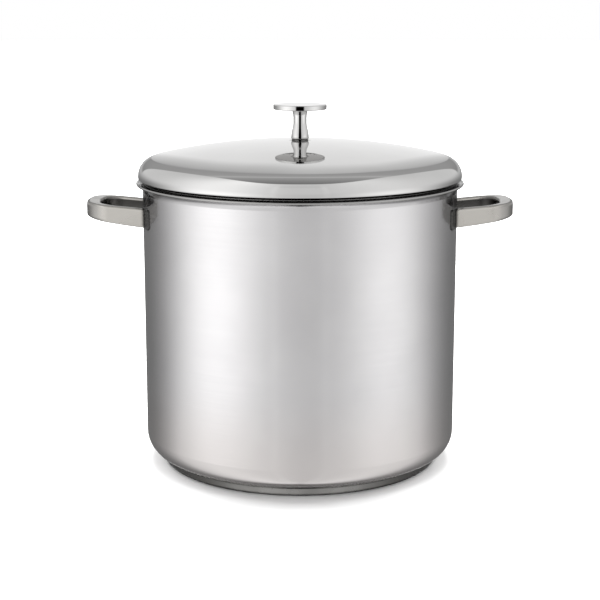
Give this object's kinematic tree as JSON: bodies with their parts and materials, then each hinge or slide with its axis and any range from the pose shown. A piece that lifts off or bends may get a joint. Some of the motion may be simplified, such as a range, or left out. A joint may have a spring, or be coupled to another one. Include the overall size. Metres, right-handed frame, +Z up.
{
  "type": "water bath canner",
  "caption": "Tall round stainless stock pot for water bath canning, with strap side handles, clad base, domed lid with knob, and a lift-out wire jar rack inside.",
  "frame": {"origin": "centre of the underside of the pot's base, on the surface it stands on", "axes": "+Z up along the pot's axis, +X through the right side handle, -Y towards the front"},
  "size_m": [0.4132, 0.3162, 0.3479],
  "materials": {
    "pot_satin_steel": "satin stainless, faint vertical and circular polishing lines",
    "base_steel": "turned stainless",
    "aluminium_core": "matt",
    "handle_steel": "satin cast stainless with polished edges",
    "mirror_steel": "mirror polished stainless",
    "knob_steel": "mirror polished stainless",
    "fastener_steel": "plain stainless",
    "rack_wire_steel": "drawn stainless wire"
  },
  "bodies": {
    "pot": {"pot_shell": "pot_satin_steel", "base_core_disc": "aluminium_core", "base_cap": "base_steel", "handle_left": "handle_steel", "handle_right": "handle_steel", "handle_left_mount_plates": "handle_steel", "handle_right_mount_plates": "handle_steel"},
    "lid": {"lid_shell": "mirror_steel", "knob_disc": "knob_steel", "knob_stem": "knob_steel", "knob_seat_washer": "knob_steel", "knob_screw": "fastener_steel", "knob_flat_washer": "fastener_steel", "knob_spring_washer": "fastener_steel"},
    "jar_rack": {"rack_inner_ring": "rack_wire_steel", "rack_second_ring": "rack_wire_steel", "rack_third_ring": "rack_wire_steel", "rack_outer_ring": "rack_wire_steel", "rack_guard_ring": "rack_wire_steel", "rack_top_ring": "rack_wire_steel", "rack_floor_wires": "rack_wire_steel", "rack_dividers": "rack_wire_steel", "rack_feet": "rack_wire_steel"},
    "rack_handle_left": {"rack_handle_left": "rack_wire_steel"},
    "rack_handle_right": {"rack_handle_right": "rack_wire_steel"}
  },
  "joints": [
    {"name": "rack_lift", "type": "slide", "parent": "pot", "child": "jar_rack", "axis": [0, 0, 1], "range_m": [0, 0.3]},
    {"name": "lid_lift", "type": "slide", "parent": "jar_rack", "child": "lid", "axis": [0, 0, 1], "range_m": [0, 0.15]},
    {"name": "rack_handle_right_fold", "type": "hinge", "parent": "jar_rack", "child": "rack_handle_right", "pos_m": [0.13859, 0, 0.0777], "axis": [0, -1, 0], "range_deg": [0, 71]},
    {"name": "rack_handle_left_fold", "type": "hinge", "parent": "jar_rack", "child": "rack_handle_left", "pos_m": [-0.13859, 0, 0.0777], "axis": [0, 1, 0], "range_deg": [0, 71]}
  ]
}
